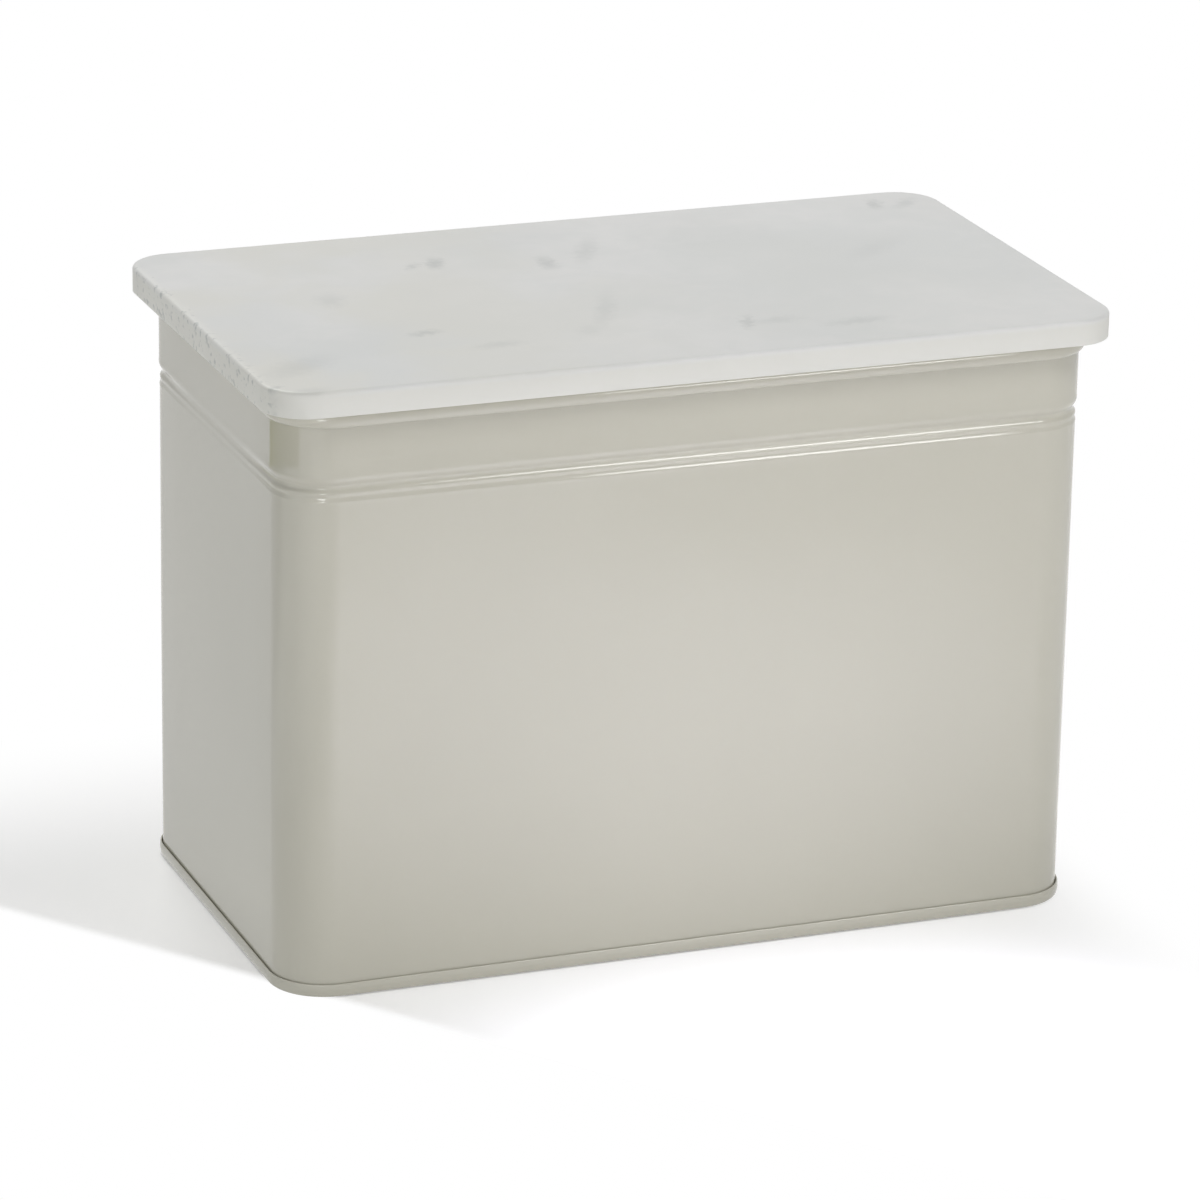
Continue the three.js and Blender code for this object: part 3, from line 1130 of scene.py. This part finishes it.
class BREADBOX_OT_seal(bpy.types.Operator):
    """Model the ribbed silicone seal round the skirt"""

    bl_idname = "breadbox.seal"
    bl_label = "Lid Seal"

    def execute(self, context):
        sizes = context.scene.bread_lid
        low, high = SEAL
        tip = high.x - wall_plan()[0]
        root = tip - sizes.seal_rib_depth
        back = tip - SEAL_THICKNESS
        pitch = (high.z - low.z) / sizes.seal_ribs
        ease = sizes.seal_ease
        points = [(back, low.z + ease), (back + ease, low.z)]
        for rib in range(sizes.seal_ribs):
            for t in even(0, 1, 8):
                lobe = math.sin(math.pi * t) ** SEAL_POINT
                points.append((root + (tip - root) * lobe, low.z + (rib + t) * pitch))
            if rib + 1 < sizes.seal_ribs:
                points.pop()
        points += [(back + ease, high.z), (back, high.z - ease)]
        piece = swept_piece("lid_seal_ring", points, closed=True)
        finish_piece(piece, "Milky silicone", "lid", "silicone", "lid_gasket", smooth=50)
        return {"FINISHED"}


class BREADBOX_OT_stage(bpy.types.Operator):
    """Set up the studio: paper floor and backdrop, olive card, lamps, even light and camera"""

    bl_idname = "breadbox.stage"
    bl_label = "Studio"

    def floor(self):
        """The paper floor, with its edge risen into a backdrop all round."""
        floor = new_piece(
            "studio_floor",
            bpy.ops.mesh.primitive_circle_add,
            vertices=96,
            radius=FLOOR_RADIUS,
            fill_type="NGON",
        )
        with editing(floor, "EDGE"):
            pick("EDGE", lambda e: e.is_boundary)
            for outward, up in FLOOR_EDGE:
                bpy.ops.mesh.extrude_edges_move(TRANSFORM_OT_translate={"value": (0, 0, up)})
                bpy.ops.transform.resize(value=(outward, outward, 1))
            turn_faces(inside=True)
        coat(floor, paper_finish(), 40)

    def card(self, look):
        """A low olive card, curved round the left front corner, which only the gloss shows."""
        half_length, half_depth, radius = wall_plan()
        corner = Vector((radius - half_length, radius - half_depth, 0))
        way = Vector((-math.cos(look.card_start), -math.sin(look.card_start), 0))
        start = corner + look.card_away * way
        card = draw_section("studio_card", start.y, [(0, 0), (0, look.card_height)])
        with editing(card):
            pick_all()
            bpy.ops.transform.translate(value=(start.x, 0, 0))
            spin(CARD_STEPS, look.card_turn, corner)
        card.data.materials.append(card_finish())
        for ray in ("camera", "diffuse", "transmission", "volume_scatter", "shadow"):
            setattr(card, "visible_" + ray, False)

    def new_lamp(self, name, kind, place, tint):
        """A lamp of that kind at its place."""
        bpy.ops.object.light_add(type=kind, location=place)
        lamp = bpy.context.object
        lamp.name = lamp.data.name = name
        lamp.data.color = tint
        return lamp

    def area_lamp(self, name, level):
        """An area lamp that gives a white card at its aim this brightness."""
        place, width, tint = LAMPS[name]
        lamp = self.new_lamp(name + "_lamp", "AREA", place, tint)
        lamp.data.shape = "DISK"
        lamp.data.size = width
        away = Vector(place) - LAMP_AIM
        lamp.data.energy = level * math.pi**2 * away.length_squared
        lamp.rotation_euler = away.to_track_quat("Z", "Y").to_euler()

    def pool_lamp(self, look):
        """A soft spot that brightens the floor in front, which the front panel mirrors."""
        lamp = self.new_lamp("pool_lamp", "SPOT", POOL_PLACE, POOL_TINT)
        lamp.scale.x = look.pool_width
        lamp.rotation_euler.z = look.pool_turn
        lamp.data.spot_size = look.pool_spread
        lamp.data.spot_blend = look.pool_blend
        lamp.data.shadow_soft_size = POOL_LAMP_RADIUS
        lamp.data.energy = look.pool * 4 * math.pi**2 * POOL_PLACE[2]**2

    def even_light(self, look):
        """Light from all round, which is white to the camera and in what is mirrored."""
        world = bpy.data.worlds.new("Even light")
        bpy.context.scene.world = world
        tree = emptied(world)
        levels = {"Value": seen_rays(tree), "To Min": look.sky, "To Max": 1.0}
        strength = after("ShaderNodeMapRange", levels)["Result"]
        light = after("ShaderNodeBackground", {"Color": WHITE, "Strength": strength})
        node(tree, "ShaderNodeOutputWorld", {"Surface": light["Background"]})

    def camera(self, look):
        """The camera at the photograph's place."""
        a, e = look.azimuth, look.elevation
        back = Vector((math.sin(a) * math.cos(e), -math.cos(a) * math.cos(e), math.sin(e)))
        level = Vector((math.cos(a), math.sin(a), 0))
        upward = back.cross(level)
        c, s = math.cos(look.roll), math.sin(look.roll)
        right, up = c * level + s * upward, -s * level + c * upward
        target = level * look.aim_side + Vector((0, 0, look.aim_height))
        bpy.ops.object.camera_add()
        camera = bpy.context.object
        camera.name = camera.data.name = "photo_camera"
        camera.data.lens = look.lens
        camera.data.clip_start = 0.05
        camera.data.clip_end = 30
        turned = Matrix((right, up, back)).transposed().to_4x4()
        camera.matrix_world = Matrix.Translation(target + back * look.distance) @ turned
        bpy.context.scene.camera = camera

    def execute(self, context):
        look = context.scene.bread_stage
        self.floor()
        self.card(look)
        for name in LAMPS:
            self.area_lamp(name, getattr(look, name))
        self.pool_lamp(look)
        self.even_light(look)
        self.camera(look)
        context.scene.view_settings.view_transform = "Standard"
        return {"FINISHED"}


class VIEW3D_PT_breadbox(bpy.types.Panel):
    """The bread box's sizes, finishes and pieces"""

    bl_label = "Bread Box"
    bl_idname = "VIEW3D_PT_breadbox"
    bl_space_type = "VIEW_3D"
    bl_region_type = "UI"
    bl_category = "Bread Box"

    def draw(self, context):
        for operator in OPERATORS:
            self.layout.operator(operator.bl_idname)
        for name in SETTINGS:
            settings = getattr(context.scene, name)
            box = self.layout.box()
            box.label(text=settings.__doc__)
            for field in settings.bl_rna.properties:
                if field.identifier not in ("name", "rna_type"):
                    box.prop(settings, field.identifier)


SETTINGS = {
    "bread_wall": WallSizes,
    "bread_base": BaseSizes,
    "bread_pads": PadSizes,
    "bread_slab": SlabSizes,
    "bread_lid": LidSizes,
    "bread_finish": FinishLook,
    "bread_stage": StageLook,
}
OPERATORS = (
    BREADBOX_OT_wall,
    BREADBOX_OT_base,
    BREADBOX_OT_pads,
    BREADBOX_OT_slab,
    BREADBOX_OT_skirt,
    BREADBOX_OT_seal,
    BREADBOX_OT_stage,
)


def register():
    for settings in SETTINGS.values():
        bpy.utils.register_class(settings)
    for operator in (*OPERATORS, VIEW3D_PT_breadbox):
        bpy.utils.register_class(operator)
    for name, settings in SETTINGS.items():
        setattr(bpy.types.Scene, name, PointerProperty(type=settings))


def unregister():
    for name in SETTINGS:
        delattr(bpy.types.Scene, name)
    for registered in (VIEW3D_PT_breadbox, *reversed(OPERATORS), *reversed(SETTINGS.values())):
        bpy.utils.unregister_class(registered)


def main():
    register()
    for operator in OPERATORS:
        getattr(bpy.ops.breadbox, operator.bl_idname.partition(".")[2])()


if __name__ == "__main__":
    main()
